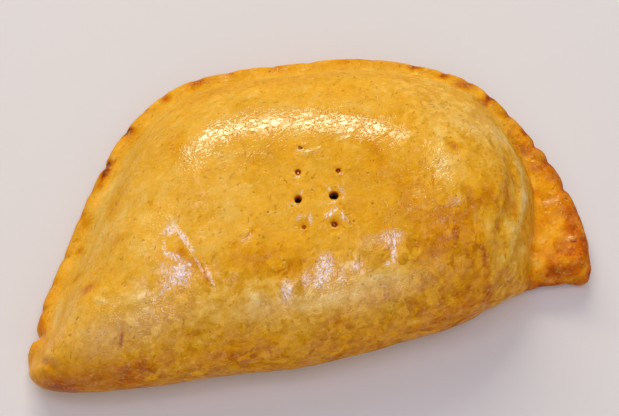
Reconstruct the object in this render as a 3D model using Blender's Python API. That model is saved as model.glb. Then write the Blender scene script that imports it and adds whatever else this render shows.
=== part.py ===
"""A baked empanada: a round of dough folded over its filling, pinched shut along the curved edge and
pricked with a fork. It lies flat as baked, uncut, so it is one solid.

Lengths are in millimetres until the mesh is made. X runs along the fold, Y from the fold to the pinched
edge, and Z up from the tray."""

import math

import bpy
import numpy as np
from mathutils import Vector, kdtree, noise
from mathutils.geometry import delaunay_2d_cdt

MM = 0.001

# --- Driving sizes -------------------------------------------------------------------------------------
CREST_HEIGHT = 34.0  # top of the filled part above the tray
SEAM_THICKNESS = 8.0  # two sheets of dough pinched together
CORNER_THICKENING = 1.5  # what the corners are thicker, where the fold meets the pinched edge
TIP_THICKENING = 3.0
SHOULDER_SPAN = 31.0  # from the foot of the filled part to the end of its shoulder
SHOULDER_EASE = 2.5  # how gently the shoulder comes level: 2 is a quarter round
FOOT_STEEPNESS = 1.2  # how steeply it rises from its foot: 1 is a plain curve
CROWN_SHARE = 0.22  # of the filled part's height, what it still gains past the shoulder, up to its middle
CROWN_SPAN = 46.0  # from the foot to the middle
FOOT_REACH = 3.0  # the band turns up into the filled part over this distance on both sides of the foot
WIDEST_AT = 0.38  # an edge is widest at this share of its own thickness
FOLD_ROUNDING = 0.85  # how far in the fold stays round, as a share of the thickness there
CORNER_FOLD_ROUNDING = 0.5  # the same where it runs out into the band at the right corner
CORNER_FOLD_MIDDLE = 72.0  # the middle of that stretch along X
CORNER_FOLD_REACH = 20.0  # and how far it reaches to both sides
SEAM_ROUNDING = 3.6  # how far in the pinched edge stays round
PULL_SOFTNESS = 0.05  # keeps the pull of a stretch of edge finite at the edge itself
TUCK_UNDER = 0.85  # how far the underside is drawn in, as a share of the height where the edge is widest

# The outline from above, as the points that a smooth curve passes through.
# The fold, from the left tip to the right corner. It bulges where the filling pushes it out.
FOLD_LINE = [
    (-75.4, 0.5), (-74.0, -5.9), (-68.8, -9.6), (-58.0, -11.9), (-40.0, -13.1), (-18.0, -13.2),
    (-4.0, -14.3), (8.0, -13.4), (20.0, -12.1), (39.6, -8.8), (52.4, -3.6), (61.0, -0.2), (70.0, -0.4),
    (74.6, -1.2),
]
# The pinched edge, from the right corner round the back to the left tip.
PINCHED_LINE = [
    (75.8, 0.8), (77.1, 12.0), (75.2, 27.0), (68.4, 45.0), (58.3, 61.5), (42.6, 71.2), (22.0, 76.8),
    (10.0, 77.4), (-10.0, 78.0), (-26.0, 75.6), (-42.0, 64.8), (-53.6, 47.8), (-63.8, 28.4), (-70.0, 15.8),
    (-72.3, 8.2),
]
# The pinched band is wide and flat at the right corner, narrow elsewhere, and narrower still at the left tip.
BAND_WIDTH = 6.0
CORNER_BAND_WIDTH = 16.5
CORNER_BAND_RUN = 28.0  # how far along the edge the wide stretch tapers away
TIP_BAND_WIDTH = 4.0
TIP_RUN = 16.0  # how far along the edge the tip's own shape tapers away
# A soft groove runs between the band and the filled part, from the right corner to three quarters of the way.
GROOVE_DEPTH = 0.9
GROOVE_WIDTH = 2.4
GROOVE_RUN = 170.0
GROOVE_FADE = 40.0
# Near the right corner the groove has a sharper furrow in it.
FURROW_DEPTH = 1.2
FURROW_WIDTH = 1.5
FURROW_RUN = 36.0
FURROW_FADE = 16.0
# Beside the furrow the dough is gathered into soft ridges. The first is this far from it, and further off
# near the fold.
FIRST_GATHER = 4.6
FIRST_GATHER_AT_CORNER = 6.5
FIRST_GATHER_BEND = 16.0  # along the edge, where it bears off
GATHER_SPACING = 8.0
GATHER_HEIGHT = 0.9
GATHER_RISE = 4.0  # from the furrow side up to the first ridge
GATHER_REACH = 13.0  # from the first ridge inwards
GATHER_RUN = 32.0  # along the edge, from the corner
GATHER_FADE = 12.0

# The pleats along the pinched edge are as long as the fingers left them, from the right corner round. Each is
# its length and how deep the crease at its end is, as a share of the full depth.
PLEATS = (
    (9.0, 0.1), (8.5, 0.1), (8.5, 0.9), (9.0, 0.6), (6.0, 0.9), (5.0, 0.15), (7.0, 0.6), (8.0, 0.5),
    (7.5, 0.6), (7.5, 0.5), (9.0, 0.4), (12.0, 0.3), (9.0, 0.2), (9.5, 0.4), (10.5, 0.5), (12.5, 0.3),
    (9.5, 0.3), (11.0, 0.4), (7.5, 0.3), (7.5, 0.6), (12.0, 1.0), (8.5, 0.3), (8.0, 0.3), (12.5, 0.5),
    (8.5, 0.3), (8.0, 0.4), (7.3, 0.7),
)
CREASE_WIDTH = 1.5  # half the width of the dent between two pleats
CREASE_DEPTH = 0.4
CORNER_CREASE_DEPTH = 0.8
CREASE_SLANT = 0.35  # a crease leans along the edge by this much for each millimetre inwards
CREASE_END = 1.2  # where a crease runs out, as a share of the band's width
PLEAT_SWELL = 0.7  # how much higher a pleat at the corner stands in its middle
PLEAT_REACH = 0.7  # how far a pleat stands out past the creases beside it, seen from above
REACH_MEAN = 0.3  # what share of that reach lies outside the smooth outline
# The last crease sets the tip off as a lobe of its own: it is deeper, and runs further in.
TIP_CREASE_DEPTH = 0.8
TIP_CREASE_REACH = 9.0
# The pleats' reach dies out over this distance at the corner and at the tip.
CORNER_REACH_FADE = 8.0
TIP_REACH_FADE = 3.0

# The fork's pricks: place, radius and depth. Two are open holes, and the others have closed into craters.
PRICKS = [
    (2.7, 37.0, 0.6, 0.6), (1.1, 30.2, 1.0, 0.9), (0.0, 22.6, 1.1, 5.5), (0.0, 15.2, 1.3, 0.8),
    (11.3, 28.8, 0.9, 0.7), (9.1, 22.2, 1.1, 5.5), (7.7, 14.4, 1.3, 1.0),
]
PRICK_WALL = 0.55  # what share of its radius a prick's wall takes up
PRICK_RINGS = ((0.45, 6), (1.0, 8), (1.5, 8))  # rings of points round each, as shares of its radius

LUMP_SPACING = 28.0  # the filling pushes the crust up and down in lumps about this far apart
LUMP_HEIGHT = 1.5
LUMP_PLACE = 5.0  # which slice of the lumpy noise is used
LUMPS_START = 4.0  # in from the outline, they begin here
LUMPS_RISE = 14.0  # and reach their full height over this distance

CURVE_STEP = 0.5  # spacing of the outline's own points
MESH_STEP = 1.9  # spacing of the mesh's points on the top
EDGE_STEP = 1.8  # along the outline
ROW_DEPTHS = (0.2, 0.8, 1.8, 3.2, 4.8, 6.5)  # rows of points that follow the outline, this far in
ROW_CLEARANCE = 0.9  # a row's points nearer to the outline than this share of its depth are left out
GRID_CLEARANCE = 0.6  # how far the grid keeps from the rows, as a share of the mesh step
UNDERSIDE_STEP = 8.0
EVENING_REACH = 7  # points of the outline on each side that the tuck is averaged over
UNDERSIDE_TURNS = (22, 45, 67, 90)  # degrees round the lower edge, from where it is widest to the tray

GOLDEN_BROWN = (0.72, 0.40, 0.06, 1.0)
EGG_WASH_ROUGHNESS = 0.35


# --- Lines in plan -------------------------------------------------------------------------------------
def closed_curve(points, step):
    """Points about step apart on the smooth closed curve through the given ones, and where those are on it."""
    fine, marks = [], []
    count = len(points)
    for i in range(count):
        before, start, end, after = (np.array(points[(i + k) % count]) for k in (-1, 0, 1, 2))
        marks.append(len(fine))
        knots = [0.0]
        for a, b in ((before, start), (start, end), (end, after)):
            knots.append(knots[-1] + math.sqrt(np.linalg.norm(b - a)))
        pieces = max(2, round(np.linalg.norm(end - start) / step))
        for t in np.linspace(knots[1], knots[2], pieces, endpoint=False):
            fine.append(catmull_rom(before, start, end, after, knots, t))
    return np.array(fine), marks


def catmull_rom(p0, p1, p2, p3, k, t):
    a1 = (k[1] - t) / (k[1] - k[0]) * p0 + (t - k[0]) / (k[1] - k[0]) * p1
    a2 = (k[2] - t) / (k[2] - k[1]) * p1 + (t - k[1]) / (k[2] - k[1]) * p2
    a3 = (k[3] - t) / (k[3] - k[2]) * p2 + (t - k[2]) / (k[3] - k[2]) * p3
    b1 = (k[2] - t) / (k[2] - k[0]) * a1 + (t - k[0]) / (k[2] - k[0]) * a2
    b2 = (k[3] - t) / (k[3] - k[1]) * a2 + (t - k[1]) / (k[3] - k[1]) * a3
    return (k[2] - t) / (k[2] - k[1]) * b1 + (t - k[1]) / (k[2] - k[1]) * b2


def run_of(line):
    """How far along the line each of its points is."""
    return np.concatenate([[0.0], np.cumsum(np.linalg.norm(np.diff(line, axis=0), axis=1))])


def nearest_on(line, places):
    """For each place in plan, how far the line is, and how far along the line its nearest point lies."""
    tree = kdtree.KDTree(len(line))
    for i, (x, y) in enumerate(line):
        tree.insert((x, y, 0.0), i)
    tree.balance()
    index = np.array([tree.find((x, y, 0.0))[1] for x, y in places])
    run = run_of(line)
    best = np.full(len(places), np.inf)
    along = np.zeros(len(places))
    for shift in (-1, 0):
        i = np.clip(index + shift, 0, len(line) - 2)
        start, stretch = line[i], line[i + 1] - line[i]
        share = np.clip(((places - start) * stretch).sum(1) / (stretch ** 2).sum(1), 0.0, 1.0)
        distance = np.linalg.norm(places - start - share[:, None] * stretch, axis=1)
        closer = distance < best
        best = np.where(closer, distance, best)
        along = np.where(closer, run[i] + share * (run[i + 1] - run[i]), along)
    return best, along


def inside(places, loop):
    """Which places lie inside the loop."""
    within = np.zeros(len(places), bool)
    for (x0, y0), (x1, y1) in zip(loop, np.roll(loop, -1, axis=0)):
        crosses = (y0 > places[:, 1]) != (y1 > places[:, 1])
        if crosses.any():
            at = x0 + (places[:, 1] - y0) / (y1 - y0) * (x1 - x0)
            within ^= crosses & (places[:, 0] < at)
    return within


CURVE, MARKS = closed_curve(FOLD_LINE + PINCHED_LINE, CURVE_STEP)
OUTLINE = np.vstack([CURVE, CURVE[:1]])
CORNER = MARKS[len(FOLD_LINE)]
FOLD = OUTLINE[: CORNER + 1]
PINCHED = OUTLINE[CORNER:]
PINCHED_LENGTH = run_of(PINCHED)[-1]


# --- Profiles ------------------------------------------------------------------------------------------
def smooth(t):
    """0 below 0, 1 above 1, and a smooth step between."""
    t = np.clip(t, 0.0, 1.0)
    return t * t * (3 - 2 * t)


def quarter_round(t):
    """The height of a quarter circle of radius 1, from upright at 0 to level at 1."""
    return np.sqrt(1 - (1 - np.clip(t, 0.0, 1.0)) ** 2)


def dent(t):
    """1 at 0, falling smoothly to nothing on both sides."""
    return np.exp(-(t ** 2))


# --- The pinched edge ----------------------------------------------------------------------------------
CREASES = np.cumsum([length for length, _ in PLEATS])
CREASE_SHARES = [share for _, share in PLEATS]


def creases(along, inwards):
    """The dents between the pleats: 1 along the middle of a full one."""
    leaning = along + CREASE_SLANT * inwards
    return sum(share * dent((leaning - place) / CREASE_WIDTH) for place, share in zip(CREASES, CREASE_SHARES))


def pleat_swell(along):
    """How far between its two creases each place is: 1 half way, 0 at a crease."""
    ends = np.concatenate([[0.0], CREASES, [PINCHED_LENGTH]])
    pleat = np.clip(np.searchsorted(ends, along, side="right") - 1, 0, len(ends) - 2)
    share = (along - ends[pleat]) / (ends[pleat + 1] - ends[pleat])
    return 1 - (2 * np.clip(share, 0.0, 1.0) - 1) ** 2


def corner(along):
    """1 at the right corner, falling to 0 along the pinched edge."""
    return dent(along / CORNER_BAND_RUN)


def tip(along):
    """1 at the left tip, falling to 0 along the pinched edge."""
    return dent((PINCHED_LENGTH - along) / TIP_RUN)


def tip_crease(along, inwards):
    """The dent that sets the tip off: 1 at its outer end."""
    leaning = along - CREASE_SLANT * inwards
    return dent((leaning - CREASES[-1]) / CREASE_WIDTH) * (1 - smooth(inwards / TIP_CREASE_REACH))


def band_width(along):
    wider = (CORNER_BAND_WIDTH - BAND_WIDTH) * corner(along)
    return BAND_WIDTH + wider + (TIP_BAND_WIDTH - BAND_WIDTH) * tip(along)


def gathers(along, past_band):
    """The height of the soft ridges beside the corner."""
    first = FIRST_GATHER + (FIRST_GATHER_AT_CORNER - FIRST_GATHER) * dent(along / FIRST_GATHER_BEND)
    near = smooth((past_band - first) / GATHER_RISE + 1.0) * (1 - smooth((past_band - first) / GATHER_REACH))
    stretch = 1 - smooth((along - GATHER_RUN) / GATHER_FADE)
    return GATHER_HEIGHT * near * stretch * np.cos(2 * math.pi * (past_band - first) / GATHER_SPACING)


def reach(along):
    """How far the pleats push the edge out, seen from above. It dies out at both ends of the band."""
    ends = smooth(along / CORNER_REACH_FADE) * smooth((PINCHED_LENGTH - along) / TIP_REACH_FADE)
    lobes = REACH_MEAN + (1 - REACH_MEAN) * tip(along) * pleat_swell(along)
    return PLEAT_REACH * ends * (lobes - creases(along, 0.0) - tip_crease(along, 0.0))


# --- Height --------------------------------------------------------------------------------------------
def spread_in(places):
    """How far in from the pinched edge each place is, as a sheet pushed up from below feels it.

    It equals the distance close to the edge, and has no ridge where two stretches of edge are equally far."""
    middles = (PINCHED[1:] + PINCHED[:-1]) / 2
    lengths = np.diff(run_of(PINCHED))
    pull = np.zeros(len(places))
    for (x, y), length in zip(middles, lengths):
        pull += length / ((places[:, 0] - x) ** 2 + (places[:, 1] - y) ** 2 + PULL_SOFTNESS)
    return math.pi / pull


def thickness(places, inwards, along):
    """The pastry's thickness at each place, before its edges are rounded."""
    width = band_width(along)
    past_band = inwards - width
    foot = np.clip(past_band + FOOT_REACH, 0.0, 2 * FOOT_REACH) ** 2 / (4 * FOOT_REACH)
    foot += np.maximum(past_band - FOOT_REACH, 0.0)
    risen = spread_in(places) * foot / np.maximum(inwards, 0.1)
    shoulder = (1 - (1 - np.minimum(risen / SHOULDER_SPAN, 1.0)) ** SHOULDER_EASE) ** (1 / FOOT_STEEPNESS)
    crown = 1 - (1 - np.minimum(risen / CROWN_SPAN, 1.0)) ** 2
    filled = (1 - CROWN_SHARE) * shoulder + CROWN_SHARE * crown
    seam = SEAM_THICKNESS + CORNER_THICKENING * dent(along / TIP_RUN) + TIP_THICKENING * tip(along)
    groove = GROOVE_DEPTH * (1 - smooth((along - GROOVE_RUN) / GROOVE_FADE)) * dent(past_band / GROOVE_WIDTH)
    furrow = FURROW_DEPTH * (1 - smooth((along - FURROW_RUN) / FURROW_FADE)) * dent(past_band / FURROW_WIDTH)
    deep = CREASE_DEPTH + (CORNER_CREASE_DEPTH - CREASE_DEPTH) * corner(along)
    dents = deep * creases(along, inwards) * (1 - smooth(inwards / (CREASE_END * width)))
    dents -= PLEAT_SWELL * corner(along) * pleat_swell(along + CREASE_SLANT * inwards) * dent(inwards / width)
    dents += TIP_CREASE_DEPTH * tip_crease(along, inwards)
    return seam + (CREST_HEIGHT - seam) * filled + gathers(along, past_band) - groove - furrow - dents


def lumps(places):
    scaled = [(x / LUMP_SPACING, y / LUMP_SPACING, LUMP_PLACE) for x, y in places]
    return LUMP_HEIGHT * np.array([noise.noise(place) for place in scaled])


def top_height(places):
    """The height of the top over each place in plan."""
    inwards, along = nearest_on(PINCHED, places)
    from_fold, _ = nearest_on(FOLD, places)
    full = thickness(places, inwards, along)
    towards_corner = dent((places[:, 0] - CORNER_FOLD_MIDDLE) / CORNER_FOLD_REACH)
    fold_rounding = FOLD_ROUNDING + (CORNER_FOLD_ROUNDING - FOLD_ROUNDING) * towards_corner
    rounding = quarter_round((inwards + reach(along)) / SEAM_ROUNDING)
    rounding *= quarter_round(from_fold / (fold_rounding * full))
    height = full * (WIDEST_AT + (1 - WIDEST_AT) * rounding)
    height += lumps(places) * smooth((np.minimum(inwards, from_fold) - LUMPS_START) / LUMPS_RISE)
    for x, y, radius, depth in PRICKS:
        away = np.hypot(places[:, 0] - x, places[:, 1] - y) / radius
        height -= depth * smooth((1.0 - away) / PRICK_WALL)
    return height


# --- Mesh ----------------------------------------------------------------------------------------------
def edge_ring():
    """Points round the widest edge, the inward direction at each, and the height where it is widest."""
    run = run_of(OUTLINE)
    count = round(run[-1] / EDGE_STEP)
    at = np.arange(count) * run[-1] / count
    base = np.stack([np.interp(at, run, OUTLINE[:, k]) for k in (0, 1)], axis=1)
    ahead = np.roll(base, -1, axis=0) - np.roll(base, 1, axis=0)
    ahead /= np.linalg.norm(ahead, axis=1)[:, None]
    inward = np.stack([-ahead[:, 1], ahead[:, 0]], axis=1)
    pinched = at >= run[CORNER]
    inwards, along = nearest_on(PINCHED, base)
    out = np.where(pinched, reach(along), 0.0)
    widest = WIDEST_AT * thickness(base, np.where(pinched, 0.0, inwards), along)
    return base, base - inward * out[:, None], inward, widest


def plan_points(base, inward):
    """Points inside the outline: rows along it, a staggered grid in the middle, and rings round the pricks."""
    rows = []
    for depth in ROW_DEPTHS:
        row = base + inward * depth
        clear, _ = nearest_on(OUTLINE, row)
        rows.append(row[clear > depth * ROW_CLEARANCE])
    grid = grid_points(MESH_STEP)
    from_edge, _ = nearest_on(OUTLINE, grid)
    grid = grid[inside(grid, CURVE) & (from_edge > ROW_DEPTHS[-1] + GRID_CLEARANCE * MESH_STEP)]
    rings = []
    for x, y, radius, _ in PRICKS:
        away = np.hypot(grid[:, 0] - x, grid[:, 1] - y)
        grid = grid[away > radius * PRICK_RINGS[-1][0] + MESH_STEP / 2]
        rings.append([(x, y)])
        for share, count in PRICK_RINGS:
            turn = np.arange(count) * 2 * math.pi / count
            rings.append(np.stack([x + share * radius * np.cos(turn), y + share * radius * np.sin(turn)], 1))
    return np.vstack(rows + [grid] + rings)


def evened(values):
    """The values round a closed ring, each averaged with its neighbours."""
    window = range(-EVENING_REACH, EVENING_REACH + 1)
    return sum(np.roll(values, shift, axis=0) for shift in window) / len(window)


def grid_points(step):
    """A staggered grid of points over the whole outline."""
    low, high = OUTLINE.min(axis=0), OUTLINE.max(axis=0)
    xs = np.arange(low[0], high[0], step)
    ys = np.arange(low[1], high[1], step * math.sqrt(3) / 2)
    return np.array([(x + (j % 2) * step / 2, y) for j, y in enumerate(ys) for x in xs])


def triangulated(ring, inner):
    """Triangles in plan over a ring of points and the points inside it."""
    count = len(ring)
    corners = [Vector(p) for p in np.vstack([ring, inner])]
    edges = [(i, (i + 1) % count) for i in range(count)]
    _, _, faces, sources, _, _ = delaunay_2d_cdt(corners, edges, [], 1, 1e-4)
    order = [source[0] for source in sources]
    return [tuple(order[i] for i in face) for face in faces]


def pastry_mesh():
    """The points and faces of the whole pastry: its top, its lower edge and its flat underside."""
    base, ring, inward, widest = edge_ring()
    count = len(ring)
    inner = plan_points(base, inward)
    faces = triangulated(ring, inner)
    points = [np.column_stack([ring, widest]), np.column_stack([inner, top_height(inner)])]
    start = count + len(inner)
    above = list(range(count))
    tuck = TUCK_UNDER * evened(widest)[:, None] * evened(inward)
    for turn in np.radians(UNDERSIDE_TURNS):
        row = ring + tuck * (1 - math.cos(turn))
        points.append(np.column_stack([row, widest * (1 - math.sin(turn))]))
        below = list(range(start, start + count))
        for i in range(count):
            j = (i + 1) % count
            faces.append((above[j], above[i], below[i], below[j]))
        above = below
        start += count
    foot = points[-1][:, :2]
    grid = grid_points(UNDERSIDE_STEP)
    from_edge, _ = nearest_on(np.vstack([foot, foot[:1]]), grid)
    grid = grid[inside(grid, foot) & (from_edge > UNDERSIDE_STEP / 2)]
    numbers = above + list(range(start, start + len(grid)))
    faces += [tuple(numbers[i] for i in reversed(face)) for face in triangulated(foot, grid)]
    points.append(np.column_stack([grid, np.zeros(len(grid))]))
    return np.vstack(points), faces


def centred(points):
    """The points moved so that the middle of their box, at the tray, is the origin."""
    middle = (points.min(axis=0) + points.max(axis=0)) / 2
    return points - (middle[0], middle[1], 0.0)


def baked_crust():
    material = bpy.data.materials.new("baked_crust")
    material.use_nodes = True
    shader = material.node_tree.nodes["Principled BSDF"]
    shader.inputs["Base Color"].default_value = GOLDEN_BROWN
    shader.inputs["Roughness"].default_value = EGG_WASH_ROUGHNESS
    return material


for old in list(bpy.data.objects):
    bpy.data.objects.remove(old)
pastry_points, pastry_faces = pastry_mesh()
empanada_mesh = bpy.data.meshes.new("empanada")
empanada_mesh.from_pydata((centred(pastry_points) * MM).tolist(), [], pastry_faces)
empanada_mesh.shade_smooth()
empanada_mesh.materials.append(baked_crust())
bpy.context.scene.collection.objects.link(bpy.data.objects.new("empanada", empanada_mesh))
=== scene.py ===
"""The looks of a baked empanada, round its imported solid. Lengths are in millimetres until a mesh is made."""

import math

import bpy
import numpy as np
from mathutils import Matrix, Quaternion, Vector, kdtree, noise
from mathutils.geometry import delaunay_2d_cdt


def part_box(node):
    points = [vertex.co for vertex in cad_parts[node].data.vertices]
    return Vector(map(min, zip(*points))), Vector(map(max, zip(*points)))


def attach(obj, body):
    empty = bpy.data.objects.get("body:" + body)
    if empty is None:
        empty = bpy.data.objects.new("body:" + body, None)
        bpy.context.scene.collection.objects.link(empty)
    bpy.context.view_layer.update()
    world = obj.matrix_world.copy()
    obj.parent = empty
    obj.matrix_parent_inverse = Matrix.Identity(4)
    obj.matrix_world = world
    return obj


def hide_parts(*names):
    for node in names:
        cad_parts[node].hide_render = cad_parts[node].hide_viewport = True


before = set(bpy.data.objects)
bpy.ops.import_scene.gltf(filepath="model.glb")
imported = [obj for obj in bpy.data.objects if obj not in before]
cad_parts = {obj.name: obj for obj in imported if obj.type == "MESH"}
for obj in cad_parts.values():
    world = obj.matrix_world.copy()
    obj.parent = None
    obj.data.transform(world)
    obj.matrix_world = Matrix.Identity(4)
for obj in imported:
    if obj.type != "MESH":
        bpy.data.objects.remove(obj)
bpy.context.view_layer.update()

# === The crust: its outline =============================================================
# One round of wheat dough, folded over its filling along the front and pinched shut along the curved back,
# pricked with a fork, brushed with beaten egg and baked on a tray. X runs along the fold, Y from the fold to
# the pinched edge, and Z up from the tray.
FOLD_LINE = [
    (-75.4, 0.5), (-74.0, -5.9), (-68.8, -9.6), (-58.0, -11.9), (-40.0, -13.1), (-18.0, -13.2),
    (-4.0, -14.3), (8.0, -13.4), (20.0, -12.1), (39.6, -8.8), (52.4, -3.6), (61.0, -0.2), (70.0, -0.4),
    (74.6, -1.2),
]
PINCHED_LINE = [
    (75.8, 0.8), (77.1, 12.0), (75.2, 27.0), (68.4, 45.0), (58.3, 61.5), (42.6, 71.2), (22.0, 76.8),
    (10.0, 77.4), (-10.0, 78.0), (-26.0, 75.6), (-42.0, 64.8), (-53.6, 47.8), (-63.8, 28.4), (-70.0, 15.8),
    (-72.3, 8.2),
]
OUTLINE_STEP = 0.4


def run_of(line):
    """How far along the line each of its points is."""
    return np.concatenate([[0.0], np.cumsum(np.linalg.norm(np.diff(line, axis=0), axis=1))])


def between(start, end, knot_start, knot_end, at):
    """The mix of start and end for a place at between their two knots."""
    share = (at - knot_start) / (knot_end - knot_start)
    return (1 - share) * start + share * end


def smooth_outline(points, step):
    """The closed curve through the points, about step apart, and where each of the given points is on it."""
    fine, marks = [], []
    count = len(points)
    for i in range(count):
        p = [np.array(points[(i + k) % count]) for k in (-1, 0, 1, 2)]
        # Knots as far apart as the roots of the distances keep the curve from looping at close points.
        k = np.concatenate([[0.0], np.cumsum([math.sqrt(np.linalg.norm(b - a)) for a, b in zip(p, p[1:])])])
        marks.append(len(fine))
        pieces = max(2, round(np.linalg.norm(p[2] - p[1]) / step))
        for at in np.linspace(k[1], k[2], pieces, endpoint=False):
            a = [between(p[j], p[j + 1], k[j], k[j + 1], at) for j in range(3)]
            b = [between(a[j], a[j + 1], k[j], k[j + 2], at) for j in range(2)]
            fine.append(between(b[0], b[1], k[1], k[2], at))
    return np.array(fine), marks


curve, marks = smooth_outline(FOLD_LINE + PINCHED_LINE, OUTLINE_STEP)
outline = np.vstack([curve, curve[:1]])
corner_at = marks[len(FOLD_LINE)]
fold = outline[: corner_at + 1]
pinched = outline[corner_at:]
pinched_length = run_of(pinched)[-1]


def nearest_on(line, places):
    """For each place in plan, how far the line is, and how far along the line its nearest point lies."""
    tree = kdtree.KDTree(len(line))
    for i, (x, y) in enumerate(line):
        tree.insert((x, y, 0.0), i)
    tree.balance()
    index = np.array([tree.find((x, y, 0.0))[1] for x, y in places])
    run = run_of(line)
    best = np.full(len(places), np.inf)
    along = np.zeros(len(places))
    for shift in (-1, 0):
        i = np.clip(index + shift, 0, len(line) - 2)
        start, stretch = line[i], line[i + 1] - line[i]
        share = np.clip(((places - start) * stretch).sum(1) / (stretch ** 2).sum(1), 0.0, 1.0)
        distance = np.linalg.norm(places - start - share[:, None] * stretch, axis=1)
        closer = distance < best
        best = np.where(closer, distance, best)
        along = np.where(closer, run[i] + share * (run[i + 1] - run[i]), along)
    return best, along


def inside(places, loop):
    """Which places lie inside the loop."""
    within = np.zeros(len(places), bool)
    for (x0, y0), (x1, y1) in zip(loop, np.roll(loop, -1, axis=0)):
        crosses = (y0 > places[:, 1]) != (y1 > places[:, 1])
        if crosses.any():
            at = x0 + (places[:, 1] - y0) / (y1 - y0) * (x1 - x0)
            within ^= crosses & (places[:, 0] < at)
    return within


# --- Profiles, each as a share ----------------------------------------------------------
def smooth(t):
    """0 below 0, 1 above 1, and a smooth step between."""
    t = np.clip(t, 0.0, 1.0)
    return t * t * (3 - 2 * t)


def eased(value, none_at, full_at):
    """0 where the value is none_at or beyond it, 1 where it is full_at or beyond, and smooth between."""
    return smooth((value - none_at) / (full_at - none_at))


def quarter_round(t):
    """The height of a quarter circle of radius 1, from upright at 0 to level at 1."""
    return np.sqrt(1 - (1 - np.clip(t, 0.0, 1.0)) ** 2)


def dent(t):
    """1 at 0, falling smoothly to nothing on both sides."""
    return np.exp(-(t ** 2))


# --- The pinched edge -------------------------------------------------------------------
# Fingers pinched the two layers together in a band of shallow pleats. It widens to a flat flap at the right
# corner, and ends at a plump tip at the left.
BAND_WIDTH = 6.0
CORNER_BAND_WIDTH = 16.5
CORNER_BAND_RUN = 28.0
TIP_BAND_WIDTH = 4.0
TIP_RUN = 16.0
PLEATS = [  # length from the last crease, then how deep and how brown the crease at its end is
    (9.0, 0.1, 0.3), (8.5, 0.1, 0.4), (8.5, 0.9, 0.7), (9.0, 0.6, 0.6), (6.0, 0.9, 0.6), (5.0, 0.15, 1.0),
    (7.0, 0.6, 0.9), (8.0, 0.5, 1.0), (7.5, 0.6, 1.0), (7.5, 0.5, 1.0), (9.0, 0.4, 0.7), (12.0, 0.3, 0.4),
    (9.0, 0.2, 0.3), (9.5, 0.4, 0.6), (10.5, 0.5, 0.4), (12.5, 0.3, 0.9), (9.5, 0.3, 0.5), (11.0, 0.4, 0.9),
    (7.5, 0.3, 0.5), (7.5, 0.6, 0.8), (12.0, 1.0, 1.5), (8.5, 0.3, 0.4), (8.0, 0.3, 0.5), (12.5, 0.5, 0.6),
    (8.5, 0.3, 0.5), (8.0, 0.4, 0.4), (7.3, 0.7, 0.3),
]
CREASE_SLANT = 0.35
CREASE_WIDTH = 1.4
CREASE_LENGTH = 4.5
CREASE_STRETCH = 0.25  # how much longer the creases are for each millimetre of wider band
CREASE_TAPER = 0.6
CREASE_DEPTH = 0.35
CORNER_CREASE_DEPTH = 0.8
PLEAT_SWELL = 0.7
TIP_CREASE_DEPTH = 0.8
TIP_CREASE_REACH = 9.0
PLEAT_REACH = 0.7
STEADY_REACH = 0.3  # the share of that reach which the edge has between the pleats too
REACH_START, REACH_END = 8.0, 3.0
crease_places = np.cumsum([length for length, _, _ in PLEATS])
crease_depths = [depth for _, depth, _ in PLEATS]
crease_browns = [brown for _, _, brown in PLEATS]


def pleat_swell(along):
    """How far between its two creases each place is: 1 half way, 0 at a crease."""
    bounds = np.concatenate([[0.0], crease_places, [pinched_length]])
    nearest = np.clip(np.searchsorted(bounds, along, side="right") - 1, 0, len(bounds) - 2)
    share = (along - bounds[nearest]) / (bounds[nearest + 1] - bounds[nearest])
    return 1 - (2 * np.clip(share, 0.0, 1.0) - 1) ** 2


def creases(along, inwards, width, strengths):
    """The dents between the pleats, narrower inwards: 1 at the edge, in the middle of a full one."""
    leaning = along + CREASE_SLANT * inwards
    length = CREASE_LENGTH + CREASE_STRETCH * (band_width(along) - BAND_WIDTH)
    share_in = np.clip(inwards / length, 0.0, 1.0)
    width = width * (1 - CREASE_TAPER * share_in)
    each = zip(crease_places, strengths)
    dents = sum(strength * dent((leaning - place) / width) for place, strength in each)
    return dents * (1 - smooth(share_in))


def tip_crease(along, inwards):
    """The dent that sets the tip off: 1 at its outer end."""
    leaning = along - CREASE_SLANT * inwards
    return dent((leaning - crease_places[-1]) / CREASE_WIDTH) * (1 - smooth(inwards / TIP_CREASE_REACH))


def near_corner(along):
    """1 at the right corner, falling to nothing along the pinched edge."""
    return dent(along / CORNER_BAND_RUN)


def near_tip(along):
    """1 at the left tip, falling to nothing along the pinched edge."""
    return dent((pinched_length - along) / TIP_RUN)


def band_width(along):
    """How wide the pinched band is."""
    wider = (CORNER_BAND_WIDTH - BAND_WIDTH) * near_corner(along)
    return BAND_WIDTH + wider + (TIP_BAND_WIDTH - BAND_WIDTH) * near_tip(along)


def reach(along):
    """How far the pleats push the edge out, seen from above. It dies out at both ends of the band."""
    ends = smooth(along / REACH_START) * smooth((pinched_length - along) / REACH_END)
    lobes = STEADY_REACH + (1 - STEADY_REACH) * near_tip(along) * pleat_swell(along)
    dents = creases(along, 0.0, CREASE_WIDTH, crease_depths) + tip_crease(along, 0.0)
    return PLEAT_REACH * ends * (lobes - dents)


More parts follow.
